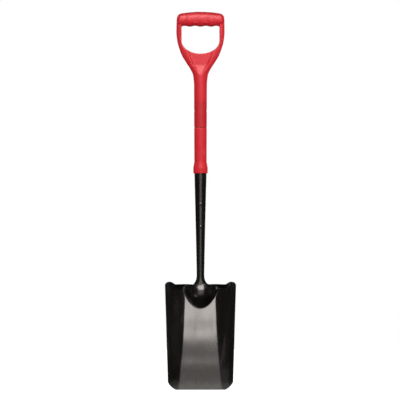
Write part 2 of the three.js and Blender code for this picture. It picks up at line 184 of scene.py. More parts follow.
def curve_through(points):
    """A smooth curve through (position, value) points that never swings past them."""
    at, values = np.array(points, float).T
    steps = np.diff(values) / np.diff(at)
    tangents = np.empty_like(values)
    tangents[0], tangents[-1] = steps[0], steps[-1]
    same_way = steps[:-1] * steps[1:] > 0
    total = np.where(same_way, steps[:-1] + steps[1:], 1)
    tangents[1:-1] = np.where(same_way, 2 * steps[:-1] * steps[1:] / total, 0)

    def curve(where):
        where = np.clip(where, at[0], at[-1])
        i = np.clip(np.searchsorted(at, where, side="right") - 1, 0, len(at) - 2)
        width = at[i + 1] - at[i]
        t = (where - at[i]) / width
        start = (1 + 2 * t) * values[i] + t * width * tangents[i]
        end = (3 - 2 * t) * values[i + 1] + (t - 1) * width * tangents[i + 1]
        return (1 - t) ** 2 * start + t * t * end

    return curve


def to_frame(points):
    """Points in millimetres above the mouth, as metres in the frame."""
    return np.asarray(points, float) * MM + np.array([0, 0, cad_low.z])


def make_object(name, points, faces, sharp_degrees=None):
    """A mesh object with outward normals and smooth shading, from points in millimetres."""
    mesh = bpy.data.meshes.new(name)
    mesh.from_pydata(to_frame(points).tolist(), [], faces)
    made = bmesh.new()
    made.from_mesh(mesh)
    bmesh.ops.recalc_face_normals(made, faces=made.faces)
    made.to_mesh(mesh)
    made.free()
    mesh.shade_smooth()
    if sharp_degrees:
        mesh.set_sharp_from_angle(angle=math.radians(sharp_degrees))
    made_object = bpy.data.objects.new(name, mesh)
    bpy.context.scene.collection.objects.link(made_object)
    return made_object


def between_rings(first, second):
    """Quads between two closed rings of point numbers."""
    count = len(first)
    quads = []
    for i in range(count):
        after = (i + 1) % count
        quads.append((first[i], first[after], second[after], second[i]))
    return quads


def grid_quads(at):
    """Quads between the neighbours in a grid of point numbers."""
    corners = (at[:-1, :-1], at[:-1, 1:], at[1:, 1:], at[1:, :-1])
    return np.stack([corner.ravel() for corner in corners], 1).tolist()


def loft(name, rings, sharp_degrees=None):
    """Skins rings of points, all with the same count, and closes the two ends."""
    count = len(rings[0])
    faces = []
    for level in range(len(rings) - 1):
        first = range(level * count, (level + 1) * count)
        second = range((level + 1) * count, (level + 2) * count)
        faces += between_rings(first, second)
    faces.append(tuple(range(count)))
    last = (len(rings) - 1) * count
    faces.append(tuple(range(last, last + count)))
    return make_object(name, np.concatenate(rings), faces, sharp_degrees)


def circle(count):
    """Cosines and sines of evenly spaced directions all the way round."""
    angle = 2 * np.pi * (np.arange(count) + 0.5) / count
    return np.cos(angle), np.sin(angle)


def turned(name, profile, closed, axis="z", at=0.0, segments=96, sharp_degrees=40):
    """A body turned from (radius, position) points round the shaft's axis or one across it."""
    cos, sin = circle(segments)
    rings = []
    for radius, along in profile:
        ahead = np.full(segments, float(along))
        if axis == "z":
            rings.append(np.stack([radius * cos, radius * sin, ahead], 1))
        elif axis == "y":
            rings.append(np.stack([radius * cos, ahead, at + radius * sin], 1))
        else:
            rings.append(np.stack([ahead, radius * cos, at + radius * sin], 1))
    if not closed:
        return loft(name, rings, sharp_degrees)
    points = np.concatenate(rings)
    faces = []
    for level in range(len(rings)):
        after = (level + 1) % len(rings)
        first = range(level * segments, (level + 1) * segments)
        second = range(after * segments, (after + 1) * segments)
        faces += between_rings(first, second)
    return make_object(name, points, faces, sharp_degrees)


def arc(centre, radius, start, end, count=6):
    """(radius, position) points on an arc; the angles are in degrees."""
    angles = np.radians(np.linspace(start, end, count))
    return [(centre[0] + radius * math.cos(a), centre[1] + radius * math.sin(a)) for a in angles]


# ---------------------------------------------------------------- blade and socket

PAN_STARTS = MOUTH_DEPTH + np.concatenate(
    [[0], np.cumsum(np.diff(PAN_KNOTS) * (PAN_SLOPES[1:] + PAN_SLOPES[:-1]) / 2)]
)
rim_line_at = curve_through(RIM_LINE)
bend_line_at = curve_through(BEND_LINE)
crest_at = curve_through(CREST)


def pan_line(z):
    """Depth along the middle of the pan; its slope changes evenly from knot to knot."""
    i = np.clip(np.searchsorted(PAN_KNOTS, z, side="right") - 1, 0, len(PAN_KNOTS) - 2)
    along = z - PAN_KNOTS[i]
    bend = (PAN_SLOPES[i + 1] - PAN_SLOPES[i]) / (PAN_KNOTS[i + 1] - PAN_KNOTS[i])
    return PAN_STARTS[i] + PAN_SLOPES[i] * along + bend * along * along / 2


def blade_half_width(z):
    """Half the blade's width: straight sides, rounded in at the lower corners."""
    side = mix(HALF_WIDTH_LOW, HALF_WIDTH_TOP, (z - CORNER_HEIGHT) / (BLADE_TOP - CORNER_HEIGHT))
    below = np.clip((CORNER_HEIGHT - z) / CORNER_HEIGHT, 0, 1)
    return side - CORNER_WIDTH * (1 - (1 - below**CORNER_ROUNDNESS) ** (1 / CORNER_ROUNDNESS))


def dished_sheet(x, z):
    """Depth of the plain dished sheet: a flat floor with a wall turned up at each side.

    The wall steepens once more close to its rim.
    """
    bend = bend_line_at(z)
    edge = blade_half_width(np.maximum(z, CORNER_HEIGHT))

    def rise(across):
        wall = soft_ramp(across - bend, WALL_BEND_RADIUS)
        return wall + RIM_STEEPNESS * soft_ramp(across - edge + RIM_WIDTH, RIM_BEND_RADIUS)

    return pan_line(z) - (pan_line(z) - rim_line_at(z)) * rise(np.abs(x)) / rise(edge)


def crown(x, z):
    """Height of the crown: it rises inside a parabola, up to the line of the crest.

    Where the pan lies deeper than the crest there is no crown.
    """
    inside = z - CROWN_TIP - CROWN_SPREAD * x * x
    ramp = CROWN_SLOPE * soft_ramp(inside, CROWN_BEND_RADIUS)
    limit = soft_ramp(pan_line(z) + crest_at(z), CROWN_BEND_RADIUS)
    across = np.exp(-((np.abs(x) / CROWN_HALF_WIDTH) ** CROWN_SHARPNESS))
    return -soft_max(-ramp, -limit * across, CROWN_BLEND)


def shoulder(x, z):
    """How far the top of the blade turns forward, short of its outer corners."""
    ramp = SHOULDER_SLOPE * soft_ramp(z - SHOULDER_START, SHOULDER_BEND_RADIUS)
    across = 1 - smooth_step(np.abs(x), EAR_INNER, SHOULDER_FADE)
    return ramp * across * smooth_step(z, SHOULDER_START - SHOULDER_BLEND, SHOULDER_START)


def swelling(x, z):
    """How far the crown and the shoulder stand forward of the plain dished sheet."""
    return soft_max(crown(x, z), shoulder(x, z), CROWN_BLEND)


def front_face(x, z):
    return dished_sheet(x, z) - swelling(x, z)


def back_sheet(x, z):
    """The sheet as the back has it, where a spine fills most of the hollow behind the crown."""
    widening = smooth_step(z, SPINE_FOOT, BLADE_TOP)
    half_width = mix(SPINE_HALF_WIDTH_FOOT, SPINE_HALF_WIDTH_TOP, widening)
    spine = np.exp(-((x / half_width) ** 4))
    return dished_sheet(x, z) - swelling(x, z) * (1 - SPINE_SHARE * spine)


def back_rib(x, z):
    """A low rib up the middle of the back."""
    return RIB_HEIGHT * np.exp(-((x / RIB_HALF_WIDTH) ** 2)) * smooth_step(z, RIB_FOOT, RIB_FULL)


def back_point(x, z):
    """Across and depth of the back, one sheet thickness behind the sheet along its normal."""
    step = 0.5
    across = (back_sheet(x + step, z) - back_sheet(x - step, z)) / (2 * step)
    along = (back_sheet(x, z + step) - back_sheet(x, z - step)) / (2 * step)
    thickness = mix(MOUTH_THICKNESS, SHEET_THICKNESS, smooth_step(z, 0, BEVEL_HEIGHT))
    spread = thickness * np.sqrt(1 + across**2 + along**2) / (1 + across**2)
    return x - across * spread, back_sheet(x, z) + spread + back_rib(x, z)


def raised(x, z):
    """The outer corners of the blade stand a little above the shoulder, and are rounded."""
    lift = EAR_HEIGHT * smooth_step(np.abs(x), EAR_INNER, EAR_OUTER)
    beyond = np.clip((np.abs(x) - blade_half_width(z)) / EAR_ROUND + 1, 0, 1)
    drop = EAR_ROUND * (1 - np.sqrt(1 - beyond**2))
    return z + (lift - drop) * smooth_step(z, EAR_ROOT, BLADE_TOP)


def blade_rows():
    """Row heights: by angle round the lower corners, then evenly, and finer at the shoulder."""
    angle = np.linspace(np.pi / 2, 0, CORNER_ROWS)
    corner = CORNER_HEIGHT * (1 - np.sin(angle) ** (2 / CORNER_ROUNDNESS))
    middle = np.linspace(CORNER_HEIGHT, SHOULDER_ROWS_FROM, MIDDLE_ROWS)[1:]
    highest = np.linspace(SHOULDER_ROWS_FROM, BLADE_TOP, SHOULDER_ROWS)[1:]
    return np.concatenate([corner, middle, highest])


def blade_grids():
    """The front and back of the blade as arrays of points, rows by columns."""
    rows = blade_rows()
    z = mix(EDGE_ROUND, BLADE_TOP - EDGE_ROUND, rows / BLADE_TOP)[:, None]
    half_width = (blade_half_width(rows) - EDGE_ROUND)[:, None]
    x = half_width * np.linspace(-1, 1, COLUMNS + 1)[None, :]
    z = np.broadcast_to(z, x.shape)
    front = np.stack([x, front_face(x, z), raised(x, z)], 2)
    back_x, back_y = back_point(x, z)
    back = np.stack([back_x, back_y, raised(x, z)], 2)
    return front, back


def outline_chain(last_row, left, right):
    """The blade's outline as (row, column), from one side of the neck round to the other."""
    chain = [(last_row, j) for j in range(right, COLUMNS + 1)]
    chain += [(i, COLUMNS) for i in range(last_row - 1, -1, -1)]
    chain += [(0, j) for j in range(COLUMNS - 1, -1, -1)]
    chain += [(i, 0) for i in range(1, last_row + 1)]
    chain += [(last_row, j) for j in range(1, left + 1)]
    return chain


def rounded_edge(front, back):
    """Points round a sheet edge from front to back, bulging outwards from the outline."""
    middle = (front + back) / 2
    half = (back - front) / 2
    size = np.linalg.norm(half, axis=1, keepdims=True)
    tangent = np.gradient(middle, axis=0)
    outward = np.cross(tangent, half)
    outward /= np.linalg.norm(outward, axis=1, keepdims=True)
    bulge = np.minimum(size, EDGE_ROUND)
    angles = np.pi * np.arange(1, EDGE_POINTS + 1) / (EDGE_POINTS + 1)
    layers = [middle - half * math.cos(a) + outward * bulge * math.sin(a) for a in angles]
    return np.stack(layers, 1)


def socket_radius(z):
    share = (z - NECK_TOP) / (SOCKET_TOP - NECK_TOP)
    return mix(NECK_RADIUS, SOCKET_RADIUS_TOP, share**SOCKET_CURVE)


def socket_angles(count):
    """Directions of a socket ring's points, starting at the left end of the front columns."""
    first = (EDGE_POINTS + 1) / 2
    return 2 * np.pi * (first + np.arange(count)) / count


def socket_ring(radius, z, angles):
    """A level ring of points round the socket."""
    across = -radius * np.cos(angles)
    deep = -radius * np.sin(angles)
    return np.stack([across, deep, np.full_like(angles, z)], 1)


def neck_rings(start, below, angles):
    """Rings from the top of the blade, drawing in to the round foot of the socket."""
    rings = []
    end = socket_ring(NECK_RADIUS, NECK_TOP, angles)
    foot = BLADE_TOP - EDGE_ROUND
    rise = NECK_TOP - foot
    lift = start[:, 2] - foot
    slope = (start[:, 1] - below[:, 1]) / (start[:, 2] - below[:, 2])
    slope = np.clip(slope, -NECK_STEEPEST, NECK_STEEPEST)
    for angle in np.linspace(np.pi / 2, 0, NECK_ROWS)[1:]:
        spread = math.sin(angle)
        t = 1 - spread
        x = mix(end[:, 0], start[:, 0], 1 - math.cos(angle))
        leaving = (1 + 2 * t) * start[:, 1] + t * rise * slope
        y = (1 - t) ** 2 * leaving + t * t * (3 - 2 * t) * end[:, 1]
        z = foot + rise * t + lift * spread**2
        rings.append(np.stack([x, y, z], 1))
    return rings


def grooved(angles, radius, z):
    """Radii and angles of a socket ring with the forged seam as a fine groove at its back."""
    angles = angles.copy()
    back = int(np.argmin(np.abs(angles - 1.5 * np.pi)))
    for beside in (back - 1, back + 1):
        angles[beside] = mix(angles[back], angles[beside], SEAM_SQUEEZE)
    radii = np.full_like(angles, radius)
    radii[back] -= SEAM_DEPTH * smooth_step(z, SEAM_FOOT, SEAM_FOOT + SEAM_RUN_IN)
    return radii, angles


def socket_rings(angles):
    """The outside of the socket going up, its rim, and the bore going back down."""
    rim_foot = SOCKET_TOP - SOCKET_RIM_ROUND
    outer = socket_radius(SOCKET_TOP)
    inner = outer - SOCKET_WALL
    rim = arc((outer - SOCKET_RIM_ROUND, rim_foot), SOCKET_RIM_ROUND, 20, 90, RIM_POINTS)
    rim += arc((inner + SOCKET_RIM_ROUND, rim_foot), SOCKET_RIM_ROUND, 90, 180, RIM_POINTS)
    rings = []
    for z in np.linspace(NECK_TOP, rim_foot, SOCKET_ROWS)[1:]:
        radii, squeezed = grooved(angles, socket_radius(z), z)
        rings.append(socket_ring(radii, z, squeezed))
    for radius, z in rim:
        rings.append(socket_ring(radius, z, angles))
    for z in np.linspace(SOCKET_TOP - BORE_LEAD_IN, BORE_BOTTOM, BORE_ROWS):
        rings.append(socket_ring(socket_radius(z) - SOCKET_WALL, z, angles))
    rings.append(socket_ring(BORE_TIP_RADIUS, BORE_BOTTOM - BORE_TIP, angles))
    return rings


def head_piece():
    """Blade, crown, neck and socket as one closed mesh of quads."""
    front, back = blade_grids()
    row_count, column_count = front.shape[:2]
    last_row = row_count - 1
    left = (COLUMNS - NECK_COLUMNS) // 2
    right = left + NECK_COLUMNS
    front_at = np.arange(row_count * column_count).reshape(row_count, column_count)
    back_at = front_at + row_count * column_count

    rows, columns = np.array(outline_chain(last_row, left, right)).T
    edge = rounded_edge(front[rows, columns], back[rows, columns])
    edge_at = back_at.max() + 1 + np.arange(edge.shape[0] * EDGE_POINTS).reshape(-1, EDGE_POINTS)
    front_edge = front_at[rows, columns][:, None]
    back_edge = back_at[rows, columns][:, None]
    strip = np.concatenate([front_edge, edge_at, back_edge], 1)
    points = np.concatenate([front.reshape(-1, 3), back.reshape(-1, 3), edge.reshape(-1, 3)])
    faces = grid_quads(front_at) + grid_quads(back_at) + grid_quads(strip)

    def ring_numbers(row):
        front_row = front_at[row, left:right + 1]
        back_row = back_at[row, left:right + 1][::-1]
        return np.concatenate([front_row, edge_at[0], back_row, edge_at[-1][::-1]])

    ring = ring_numbers(last_row)
    angles = socket_angles(len(ring))
    start = points[ring]
    below = points[ring_numbers(last_row - 1)]
    below[:, 2] = np.minimum(below[:, 2], start[:, 2] - NECK_LEAST_RISE)
    rings = neck_rings(start, below, angles) + socket_rings(angles)
    for level in range(len(rings)):
        numbers = len(points) + level * len(ring) + np.arange(len(ring))
        faces += between_rings(ring.tolist(), numbers.tolist())
        ring = numbers
    faces.append(tuple(ring.tolist()))
    return make_object("blade_and_socket_lacquered", np.concatenate([points, *rings]), faces)


# ---------------------------------------------------------------- D-handle

YOKE_TOP = 993.0
YOKE_ROUND = 30.0
HANDLE_OUTLINE = [
    (690, 16.9), (800, 17.2), (829, 19.7), (845, 26.4), (861, 36.8), (884, 50.2), (900, 56.2),
    (918, 61.2), (944, 64), (974, 63.4), (984, 61), (990, 55), (YOKE_TOP, 46),
]
HANDLE_HALF_DEPTH = [
    (690, 16.9), (815, 17.4), (860, 16), (910, 14), (965, 14.5), (984, 11.5), (990, 7.5),
    (YOKE_TOP, 4),
]
HANDLE_SQUARENESS = [(690, 2), (815, 2), (870, 3), (920, 3.6)]
OPENING_HALF_WIDTH = 50.0
OPENING_SHOULDER = 921.0
OPENING_BOTTOM = 886.5
OPENING_TOP = 966.0
OPENING_ROUND = 6.0
OPENING_OVERSHOOT = 4.0
WEB_HALF_DEPTH = 10.0
WEB_FOOT = 830.0
WEB_FULL = 860.0
WEB_TOP = 900.0
WEB_HALF_WIDTH = 27.0
WEB_SHARPNESS = 0.8
WEB_DRAFT = 1.8
WEB_LEAST_SHARE = 0.02
WEB_OVERSHOOT = 2.0
GRIP_HALF_LENGTH = 63.6
GRIP_ROUND = 13.0
GRIP_TOP = HANDLE_HIGH.z
GRIP_CROWN = 4.2
GRIP_BOTTOM = 959.4
GRIP_HALF_DEPTH = 16.4
GRIP_SQUARENESS = 2.3
GRIP_END_SQUARENESS = 2.4
GRIP_END_REACH = 0.97
FINGER_PITCH = 28.0
FINGER_DEPTH = 1.2
FINGER_BULGE = 0.8
FINGER_SPAN = 50.0
FINGER_FADE = 8.0
TUBE_RADIUS = TUBE_HIGH.x
PIN_RADIUS = (PIN_HIGH.z - PIN_LOW.z) / 2
PIN_HEIGHT = (PIN_HIGH.z + PIN_LOW.z) / 2
CLEARANCE = 0.3
BORE_OVERSHOOT = 2.0
HOLE_REACH = 40.0

# How finely the D-handle's bodies are made, and how they are melted together.
YOKE_RINGS = 110
YOKE_ROUND_RINGS = 24
YOKE_POINTS = 128
FLARE_RINGS = 10
OPENING_POINTS = 60
WEB_RINGS = 40
GRIP_RINGS = 110
GRIP_END_RINGS = 16
GRIP_POINTS = 72
HANDLE_VOXEL = 0.85 * MM
EASE_FACTOR = 0.5
EASE_STEPS = 24

outline_at = curve_through(HANDLE_OUTLINE)
half_depth_at = curve_through(HANDLE_HALF_DEPTH)
squareness_at = curve_through(HANDLE_SQUARENESS)


def squircle(half_width, half_depth, squareness, count):
    """Points round an oval: an ellipse at a squareness of 2, boxier above that."""
    cos, sin = circle(count)

    def bulge(value):
        return np.sign(value) * np.abs(value) ** (2 / squareness)

    return -half_width * bulge(cos), -half_depth * bulge(sin)


def yoke_body():
    """The neck and yoke before anything is cut: an oval that widens, rounded over at its top."""
    rings = []
    plain = np.linspace(HANDLE_LOW.z, YOKE_TOP - YOKE_ROUND, YOKE_RINGS)[:-1]
    turn = np.linspace(0, np.pi / 2, YOKE_ROUND_RINGS)
    rounding = YOKE_TOP - YOKE_ROUND * (1 - np.sin(turn))
    for z in [*plain, *rounding]:
        x, y = squircle(outline_at(z), half_depth_at(z), squareness_at(z), YOKE_POINTS)
        rings.append(np.stack([x, y, np.full_like(x, z)], 1))
    return loft("yoke", rings)


def opening_cut():
    """The hand opening: straight sides, a half-ellipse below, edges flared at both faces."""
    half_depth = float(half_depth_at(OPENING_SHOULDER))
    angle = np.linspace(0, np.pi / 2, FLARE_RINGS)
    depths = half_depth - OPENING_ROUND * (1 - np.sin(angle))
    flares = OPENING_ROUND * (1 - np.cos(angle))
    depths = np.append(depths, half_depth + OPENING_OVERSHOOT)
    flares = np.append(flares, OPENING_ROUND)
    depths = np.concatenate([-depths[::-1], depths])
    flares = np.concatenate([flares[::-1], flares])
    around = np.linspace(0, np.pi, OPENING_POINTS)
    rings = []
    for depth, flare in zip(depths, flares):
        lower_x = -(OPENING_HALF_WIDTH + flare) * np.cos(around)
        drop = OPENING_SHOULDER - OPENING_BOTTOM + flare
        lower_z = OPENING_SHOULDER - drop * np.sin(around)
        x = np.concatenate([lower_x, lower_x[::-1]])
        z = np.concatenate([lower_z, np.full(OPENING_POINTS, OPENING_TOP)])
        rings.append(np.stack([x, np.full_like(x, depth), z], 1))
    return loft("opening", rings)


def web_cut(side):
    """Wedge-shaped pocket on one face of the yoke; it leaves a thin web between the arms."""
    face = float(half_depth_at(WEB_FOOT)) + WEB_OVERSHOOT
    deep_at = curve_through([
        (WEB_FOOT, face - WEB_OVERSHOOT), (WEB_FULL, WEB_HALF_DEPTH), (WEB_TOP, WEB_HALF_DEPTH),
    ])
    rings = []
    for z in np.linspace(WEB_FOOT, WEB_TOP, WEB_RINGS):
        share = (z - WEB_FOOT) / (OPENING_BOTTOM - WEB_FOOT)
        narrow = WEB_HALF_WIDTH * max(WEB_LEAST_SHARE, share) ** WEB_SHARPNESS
        deep = float(deep_at(z))
        wide = narrow + WEB_DRAFT * (face - deep)
        corners = [(-narrow, deep), (narrow, deep), (wide, face), (-wide, face)]
        rings.append(np.array([(x, side * y, z) for x, y in corners]))
    return loft("web", rings)


def grip_bar():
    """The grip bar: a shallow crown on top, finger waves below and on its faces."""
    straight = GRIP_HALF_LENGTH - GRIP_ROUND
    turn = np.linspace(0, GRIP_END_REACH * np.pi / 2, GRIP_END_RINGS)[1:]
    ends = straight + GRIP_ROUND * np.sin(turn)
    xs = np.concatenate([-ends[::-1], np.linspace(-straight, straight, GRIP_RINGS), ends])
    rings = []
    for x in xs:
        fade = 1 - smooth_step(abs(x), FINGER_SPAN - FINGER_FADE, FINGER_SPAN)
        wave = math.cos(2 * math.pi * x / FINGER_PITCH) * fade
        low = GRIP_BOTTOM - FINGER_DEPTH * wave
        high = GRIP_TOP - GRIP_CROWN * (x / straight) ** 2
        beyond = np.clip((abs(x) - straight) / GRIP_ROUND, 0, 1)
        end = (1 - beyond**GRIP_END_SQUARENESS) ** (1 / GRIP_END_SQUARENESS)
        half_depth = (GRIP_HALF_DEPTH + FINGER_BULGE * wave) * end
        across, y = squircle((high - low) / 2 * end, half_depth, GRIP_SQUARENESS, GRIP_POINTS)
        rings.append(np.stack([np.full_like(y, x), y, (low + high) / 2 - across], 1))
    return loft("grip", rings)


def apply_modifiers(target):
    """Replaces an object's mesh with the one that its modifiers make."""
    shape = target.evaluated_get(bpy.context.evaluated_depsgraph_get())
    mesh = bpy.data.meshes.new_from_object(shape)
    target.modifiers.clear()
    target.data = mesh


def combine(target, other, operation):
    """Adds another body to the target, or cuts it away, and uses it up."""
    modifier = target.modifiers.new("combine", "BOOLEAN")
    modifier.object = other
    modifier.operation = operation
    modifier.solver = "EXACT"
    apply_modifiers(target)
    bpy.data.objects.remove(other)


def melt_together(handle):
    """Remeshes a body and eases it, so that its parts flow into each other."""
    remesh = handle.modifiers.new("remesh", "REMESH")
    remesh.mode = "VOXEL"
    remesh.voxel_size = HANDLE_VOXEL
    remesh.use_smooth_shade = True
    ease = handle.modifiers.new("ease", "SMOOTH")
    ease.factor = EASE_FACTOR
    ease.iterations = EASE_STEPS
    apply_modifiers(handle)
    handle.data.shade_smooth()


def handle_piece():
    """The moulded D-handle, with its bore for the shaft tube and its hole for the pin."""
    bore_radius = TUBE_RADIUS + CLEARANCE
    bore = [(bore_radius, HANDLE_LOW.z - BORE_OVERSHOOT), (bore_radius, TUBE_HIGH.z + CLEARANCE)]
    hole_radius = PIN_RADIUS + CLEARANCE
    hole = [(hole_radius, -HOLE_REACH), (hole_radius, HOLE_REACH)]
    handle = yoke_body()
    handle.name = "d_handle_moulded"
    combine(handle, opening_cut(), "DIFFERENCE")
    combine(handle, web_cut(-1), "DIFFERENCE")
    combine(handle, web_cut(1), "DIFFERENCE")
    combine(handle, grip_bar(), "UNION")
    combine(handle, turned("bore", bore, closed=False), "DIFFERENCE")
    combine(handle, turned("hole", hole, closed=False, axis="x", at=PIN_HEIGHT), "DIFFERENCE")
    melt_together(handle)
    handle.data.name = handle.name
    return handle


# ---------------------------------------------------------------- turned pieces

SLEEVE_RADIUS_BOTTOM = 16.4
SLEEVE_RADIUS_TOP = 16.8
SLEEVE_EDGE = 0.5
SLEEVE_TOP_ROUND = 0.9
SLEEVE_BORE_EDGE = 0.4
SLEEVE_STRAIGHT_END = 1.0
COLLAR_WIDEST = 581.0
COLLAR_RADIUS = 19.3
COLLAR_LIP = 0.6
COLLAR_EDGE = 1.0
COLLAR_CHAMFER = 0.5
COLLAR_FULLNESS = 0.6
COLLAR_STEP_GAP = 1.0
COLLAR_BORE_EDGE = (0.4, 0.3)
COLLAR_SWELL_STEPS = 22
COLLAR_ROUND_STEPS = 14
RIVET_SHANK_RADIUS = 2.5
RIVET_HEAD_DEPTH = 2.2
RIVET_HEAD_EDGE = (0.3, 0.15)
RIVET_FULLNESS = 0.8
RIVET_CROWN_FLAT = 0.25
RIVET_CROWN_ANGLE = 84
RIVET_CROWN_STEPS = 14
PIN_CHAMFER = 0.5
PIN_DIMPLE = [(1.0, 0), (0.7, 0.2), (0.1, 0.6)]
SMALL_SEGMENTS = 48


def sleeve_piece():
    """The plain red sleeve between the collar and the D-handle."""
    bore = TUBE_RADIUS + CLEARANCE
    low = SLEEVE_LOW.z
    top = SLEEVE_HIGH.z
    corner = (SLEEVE_RADIUS_TOP - SLEEVE_TOP_ROUND, top - SLEEVE_TOP_ROUND)
    profile = [(SLEEVE_RADIUS_BOTTOM - SLEEVE_EDGE, low), (SLEEVE_RADIUS_BOTTOM, low + SLEEVE_EDGE)]
    for share in np.linspace(0.1, 1, 10):
        radius = mix(SLEEVE_RADIUS_BOTTOM, SLEEVE_RADIUS_TOP, share)
        profile.append((radius, mix(low, top - SLEEVE_STRAIGHT_END, share)))
    profile += arc(corner, SLEEVE_TOP_ROUND, 10, 90)
    profile += [(bore + SLEEVE_BORE_EDGE, top), (bore, top - SLEEVE_BORE_EDGE)]
    profile += [(bore, low + SLEEVE_BORE_EDGE), (bore + SLEEVE_BORE_EDGE, low)]
    return turned("shaft_sleeve_moulded", profile, closed=True)


def collar_piece():
    """Bell-shaped collar: it swells towards the socket and rounds over at its lower edge."""
    over_sleeve = SLEEVE_RADIUS_BOTTOM + CLEARANCE
    over_socket = SOCKET_RADIUS_TOP + CLEARANCE
    step = SOCKET_TOP + COLLAR_STEP_GAP
    low = COLLAR_LOW.z
    top = COLLAR_HIGH.z
    edge_out, edge_down = COLLAR_BORE_EDGE
    profile = []
    for z in np.linspace(top - COLLAR_CHAMFER, COLLAR_WIDEST, COLLAR_SWELL_STEPS):
        swell = float(smooth_step(z, top, COLLAR_WIDEST))
        profile.append((mix(over_sleeve + COLLAR_LIP, COLLAR_RADIUS, swell), z))
    for angle in np.linspace(0, np.pi / 2, COLLAR_ROUND_STEPS)[1:]:
        share = math.cos(angle) ** COLLAR_FULLNESS
        out = mix(over_socket + COLLAR_EDGE, COLLAR_RADIUS, share)
        profile.append((out, COLLAR_WIDEST - (COLLAR_WIDEST - low) * math.sin(angle)))
    profile += [(over_socket + COLLAR_CHAMFER, low), (over_socket, low + COLLAR_CHAMFER)]
    profile += [(over_socket, step), (over_sleeve, step)]
    profile += [(over_sleeve, top - edge_down), (over_sleeve + edge_out, top)]
    return turned("socket_collar_moulded", profile, closed=True)


def mirrored(end):
    """The profile of a pin whose two ends are alike, from the profile of one end."""
    return [(radius, -along) for radius, along in reversed(end)] + end


def rivet_piece(node):
    """A rivet with a hammered, slightly flattened dome at each end of its shank."""
    low, high = corners_of(node)
    centre = (low.z + high.z) / 2
    head = (high.z - low.z) / 2
    reach = high.y
    seat = reach - RIVET_HEAD_DEPTH
    edge_in, edge_out = RIVET_HEAD_EDGE
    end = [(RIVET_SHANK_RADIUS, seat), (head - edge_in, seat), (head, seat + edge_out)]
    for angle in np.radians(np.linspace(0, RIVET_CROWN_ANGLE, RIVET_CROWN_STEPS))[1:]:
        radius = head * math.cos(angle) ** RIVET_FULLNESS
        end.append((radius, seat + RIVET_HEAD_DEPTH * math.sin(angle)))
    end.append((RIVET_CROWN_FLAT, reach))
    return turned(
        node + "_headed", mirrored(end), closed=False,
        axis="y", at=centre, segments=SMALL_SEGMENTS,
    )


def pin_piece():
    """The cross pin through the handle's neck, chamfered and centre-dimpled at both ends."""
    half = PIN_HIGH.x
    end = [(PIN_RADIUS, half - PIN_CHAMFER), (PIN_RADIUS - PIN_CHAMFER, half)]
    end += [(radius, half - depth) for radius, depth in PIN_DIMPLE]
    return turned(
        "handle_pin_turned", mirrored(end), closed=False,
        axis="x", at=PIN_HEIGHT, segments=SMALL_SEGMENTS,
    )


# ---------------------------------------------------------------- materials


class Finish:
    """A material under construction: short calls for the nodes that the finishes share."""

    def __init__(self, name):
        self.material = bpy.data.materials.new(name)
        self.material.use_nodes = True
        self.nodes = self.material.node_tree.nodes
        self.links = self.material.node_tree.links
        self.shader = self.nodes["Principled BSDF"]
        self.place = self.nodes.new("ShaderNodeTexCoord").outputs["Object"]

    def set(self, **values):
        """Values on the shader's own sockets, such as specular_ior_level=0.5."""
        for name, value in values.items():
            socket = name.replace("_", " ").title().replace("Ior", "IOR")
            self.shader.inputs[socket].default_value = value

    def link(self, output, socket):
        self.links.new(output, self.shader.inputs[socket])

    def stretched(self, x, y, z):
        """The place scaled per axis, so that a pattern can run along the object."""
        node = self.nodes.new("ShaderNodeMapping")
        node.inputs["Scale"].default_value = (x, y, z)
        self.links.new(self.place, node.inputs["Vector"])
        return node.outputs["Vector"]

    def noise(self, scale, detail=3.0, roughness=0.5, distortion=0.0, place=None):
        """A cloudy pattern from 0 to 1; the scale is in repeats per metre."""
        node = self.nodes.new("ShaderNodeTexNoise")
        node.inputs["Scale"].default_value = scale
        node.inputs["Detail"].default_value = detail
        node.inputs["Roughness"].default_value = roughness
        node.inputs["Distortion"].default_value = distortion
        self.links.new(place or self.place, node.inputs["Vector"])
        return node.outputs["Fac"]

    def spread(self, value, low, high, to_low, to_high, smooth=False):
        """Moves the range low..high to to_low..to_high, clamped at both ends."""
        node = self.nodes.new("ShaderNodeMapRange")
        node.interpolation_type = "SMOOTHSTEP" if smooth else "LINEAR"
        node.inputs["From Min"].default_value = low
        node.inputs["From Max"].default_value = high
        node.inputs["To Min"].default_value = to_low
        node.inputs["To Max"].default_value = to_high
        self.links.new(value, node.inputs["Value"])
        return node.outputs["Result"]

    def maths(self, operation, first, second):
        node = self.nodes.new("ShaderNodeMath")
        node.operation = operation
        for value, socket in ((first, node.inputs[0]), (second, node.inputs[1])):
            if isinstance(value, (int, float)):
                socket.default_value = value
            else:
                self.links.new(value, socket)
        return node.outputs["Value"]

    def part_of_place(self, axis):
        node = self.nodes.new("ShaderNodeSeparateXYZ")
        self.links.new(self.place, node.inputs["Vector"])
        return node.outputs[axis]

    def blend(self, share, first, second):
        """A colour between two, each a triple or an output."""
        node = self.nodes.new("ShaderNodeMix")
        node.data_type = "RGBA"
        self.links.new(share, node.inputs["Factor"])
        for value, socket in ((first, node.inputs[6]), (second, node.inputs[7])):
            if isinstance(value, tuple):
                socket.default_value = (*value, 1)
            else:
                self.links.new(value, socket)
        return node.outputs[2]

    def bump(self, height, distance, strength=1.0, after=None):
        """A bump whose height is in metres, on top of an earlier one if there is one."""
        node = self.nodes.new("ShaderNodeBump")
        node.inputs["Strength"].default_value = strength
        node.inputs["Distance"].default_value = distance
        self.links.new(height, node.inputs["Height"])
        if after:
            self.links.new(after, node.inputs["Normal"])
        return node.outputs["Normal"]


